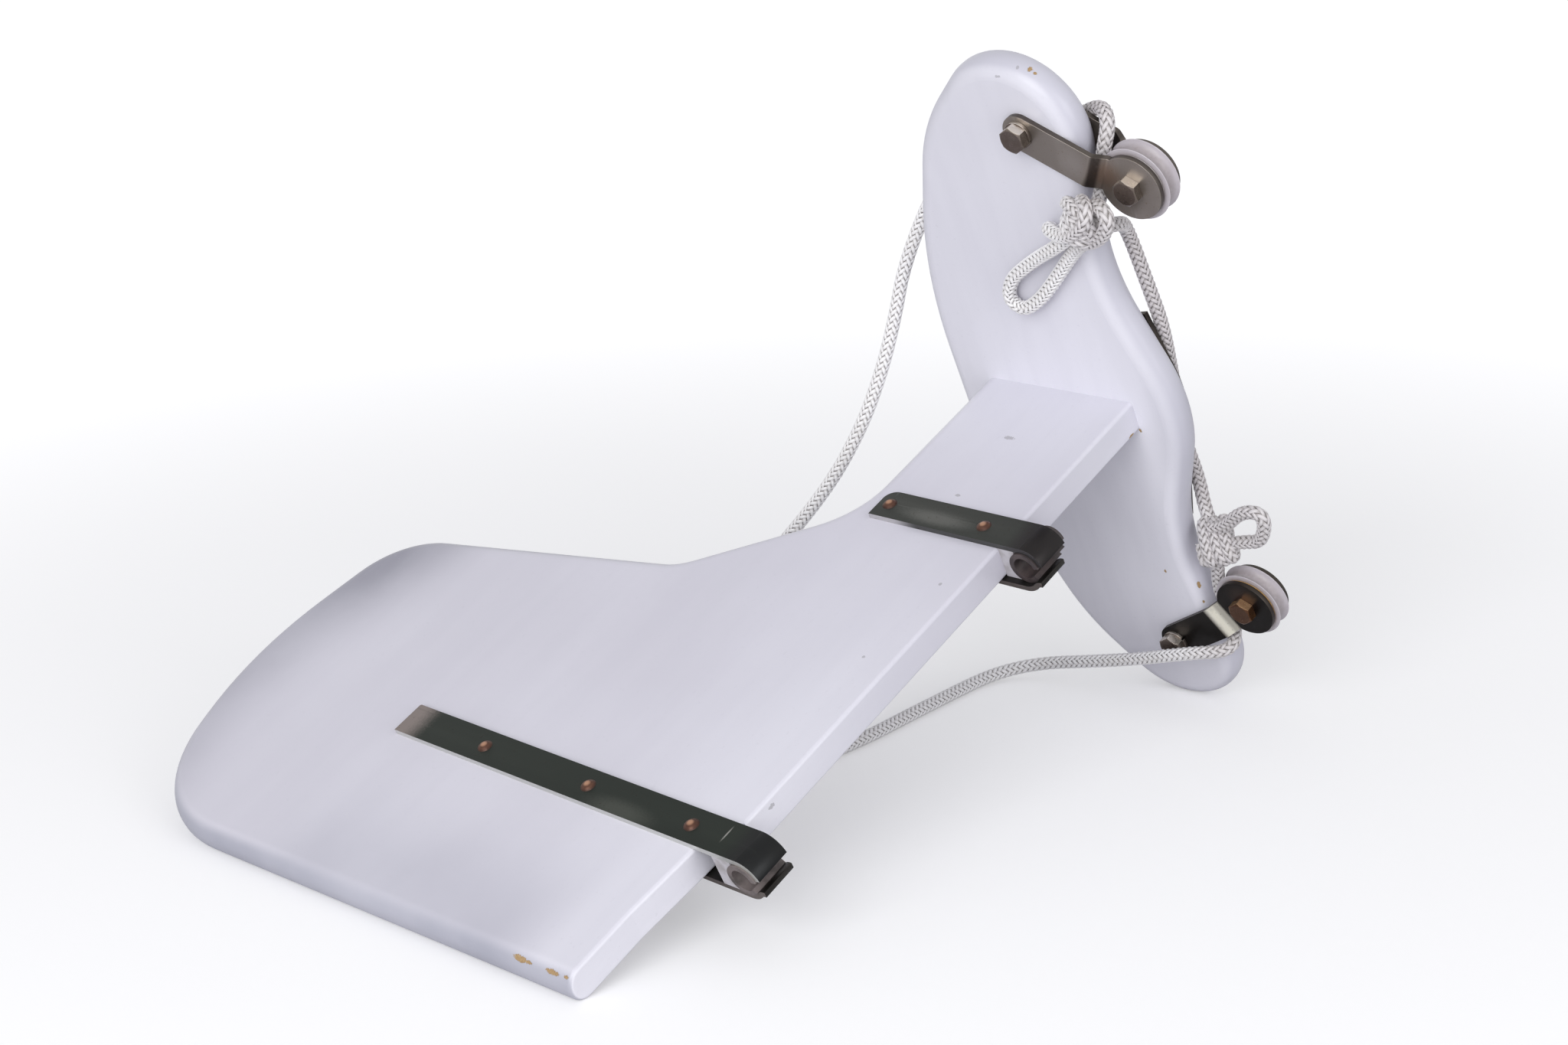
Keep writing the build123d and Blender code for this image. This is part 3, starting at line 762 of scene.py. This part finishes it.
on_floor = cord_radius + 0.0001
line_points = down([
    (15.2, -129.5, -3.0),
    (14.6, -137.0, 9.4),
    (19.9, -157.0, 9.8),
    (24.2, -173.3, 17.6),
    (9.5, -174.2, 30.0),
    (-22.0, -156.0, 27.4),
    (-62.0, -147.0, 24.5),
    (-100.0, -127.0, 24.6),
]) + [
    (0.0320, 0.1410, 0.2940),
    (0.0200, 0.1320, 0.2570),
    (0.0180, 0.1260, 0.2300),
    (0.0130, 0.1190, 0.2000),
    (0.0030, 0.1110, 0.1670),
    (-0.0190, 0.1040, 0.1290),
    (-0.0620, 0.0920, 0.0780),
    (-0.0920, 0.0720, 0.0380),
    (-0.0960, 0.0300, 0.0050),
    (-0.0650, -0.0120, on_floor),
    (-0.0150, -0.0300, on_floor),
    (0.0330, -0.0080, on_floor),
    (0.0420, 0.0500, on_floor),
    (0.0360, 0.1200, on_floor),
    (0.0310, 0.2080, on_floor),
] + down([
    (-49.0, 175.5, -16.5),
    (1.0, 156.2, -15.0),
    (23.5, 156.2, -6.0),
    (17.1, 153.0, 10.0),
    (14.9, 138.0, 10.0),
    (12.1, 122.5, 10.0),
    (18.5, 100.0, 10.5),
])
crossing_points = down([
    (16.0, -120.5, 2.0),
    (17.5, -117.0, 11.0),
    (8.5, -105.0, 25.0),
    (11.2, -67.0, 25.4),
    (11.0, -42.0, 27.8),
    (8.0, -10.0, 27.6),
    (3.2, 36.0, 27.6),
    (5.3, 62.5, 27.8),
    (10.0, 79.5, 20.0),
    (18.5, 87.0, 13.0),
])

# Knots: each end of the line is doubled back and tied by hand into a loop beside its bracket.
# The starboard one lies on the near face of the yoke, and the port one stands off its front edge.
starboard_curl = down([
    (17.0, -134.0, -3.0),
    (19.4, -139.2, -5.0),
    (29.7, -141.6, -12.0),
    (34.4, -138.4, -15.0),
    (31.2, -130.9, -15.0),
    (23.3, -123.9, -14.0),
    (12.1, -118.7, -11.0),
    (1.1, -115.8, -6.0),
    (6.0, -120.0, -5.0),
])
starboard_loop = down([
    (6.0, -134.5, -5.0),
    (3.1, -138.3, -6.0),
    (8.7, -141.6, -11.0),
    (15.5, -141.1, -15.0),
    (21.5, -137.3, -17.0),
    (23.0, -130.7, -16.0),
    (17.2, -122.9, -13.0),
    (6.8, -115.9, -10.0),
    (-4.5, -105.8, -6.0),
    (-15.6, -94.0, -4.6),
    (-24.8, -84.1, -4.6),
    (-36.1, -73.0, -4.6),
    (-49.5, -64.2, -4.6),
    (-58.1, -71.0, -4.6),
    (-51.6, -83.9, -4.6),
    (-38.5, -93.7, -4.6),
    (-24.4, -103.2, -6.0),
    (-10.6, -111.7, -9.0),
    (2.2, -120.2, -10.0),
])
starboard_band = down([
    (-9.0, -118.0, -4.5),
    (-14.5, -120.3, -4.6),
    (-9.9, -123.9, -10.0),
    (0.3, -124.2, -15.0),
    (10.1, -127.4, -18.5),
    (18.5, -132.5, -19.5),
    (24.3, -139.0, -19.0),
    (22.9, -144.6, -15.0),
    (14.7, -141.9, -8.0),
])
port_loop = down([
    (20.0, 80.0, 10.0),
    (28.0, 78.8, 10.0),
    (44.0, 62.6, 10.0),
    (58.6, 62.0, 10.0),
    (52.0, 82.4, 10.0),
    (39.5, 85.5, 10.0),
    (25.8, 90.6, 10.0),
    (20.0, 92.0, 10.0),
])


def winding(middle, axis, wide, deep, turns, spread):
    """Upright places of a cord wound round an axis, its ends tucked in."""
    middle = Vector(middle)
    axis = Vector(axis).normalized()
    up = Vector((0.18, 0.767, -0.616))
    up = (up - axis * up.dot(axis)).normalized()
    out = axis.cross(up)
    points = [middle - axis * (spread / 2)]
    steps = int(turns * 8)
    for step in range(steps + 1):
        angle = step * math.pi / 4
        ahead = axis * ((step / steps - 0.5) * spread)
        points.append(middle + ahead + up * (math.cos(angle) * wide) + out * (math.sin(angle) * deep))
    return points + [middle + axis * (spread / 2)]


port_winding = down(winding(
    (20.5, 90.0, 10.5), (0.85, -0.1, 0.35), wide=11.5, deep=6.5, turns=3.0, spread=17.0,
))
starboard_wrap = down(winding(
    (13.0, -130.5, -10.0), (-0.58, 0.81, 0.0), wide=9.5, deep=7.0, turns=2.5, spread=11.0,
))
starboard_knot_lines = [
    route("starboard_wrap", starboard_wrap),
    route("starboard_curl", starboard_curl),
    route("starboard_loop", starboard_loop),
    route("starboard_band", starboard_band),
]
port_knot_lines = [route("port_loop", port_loop), route("port_winding", port_winding)]
starboard_knot = cord_piece("starboard_knot_plaited", starboard_knot_lines, "starboard_knot")
port_knot = cord_piece("port_knot_plaited", port_knot_lines, "port_knot")
steering_route = route("steering_route", line_points)
steering_line = cord_piece("steering_line_plaited", [steering_route], "steering_line")
crossing_route = route("crossing_route", crossing_points)
crossing_line = cord_piece("crossing_line_plaited", [crossing_route], "crossing_line")
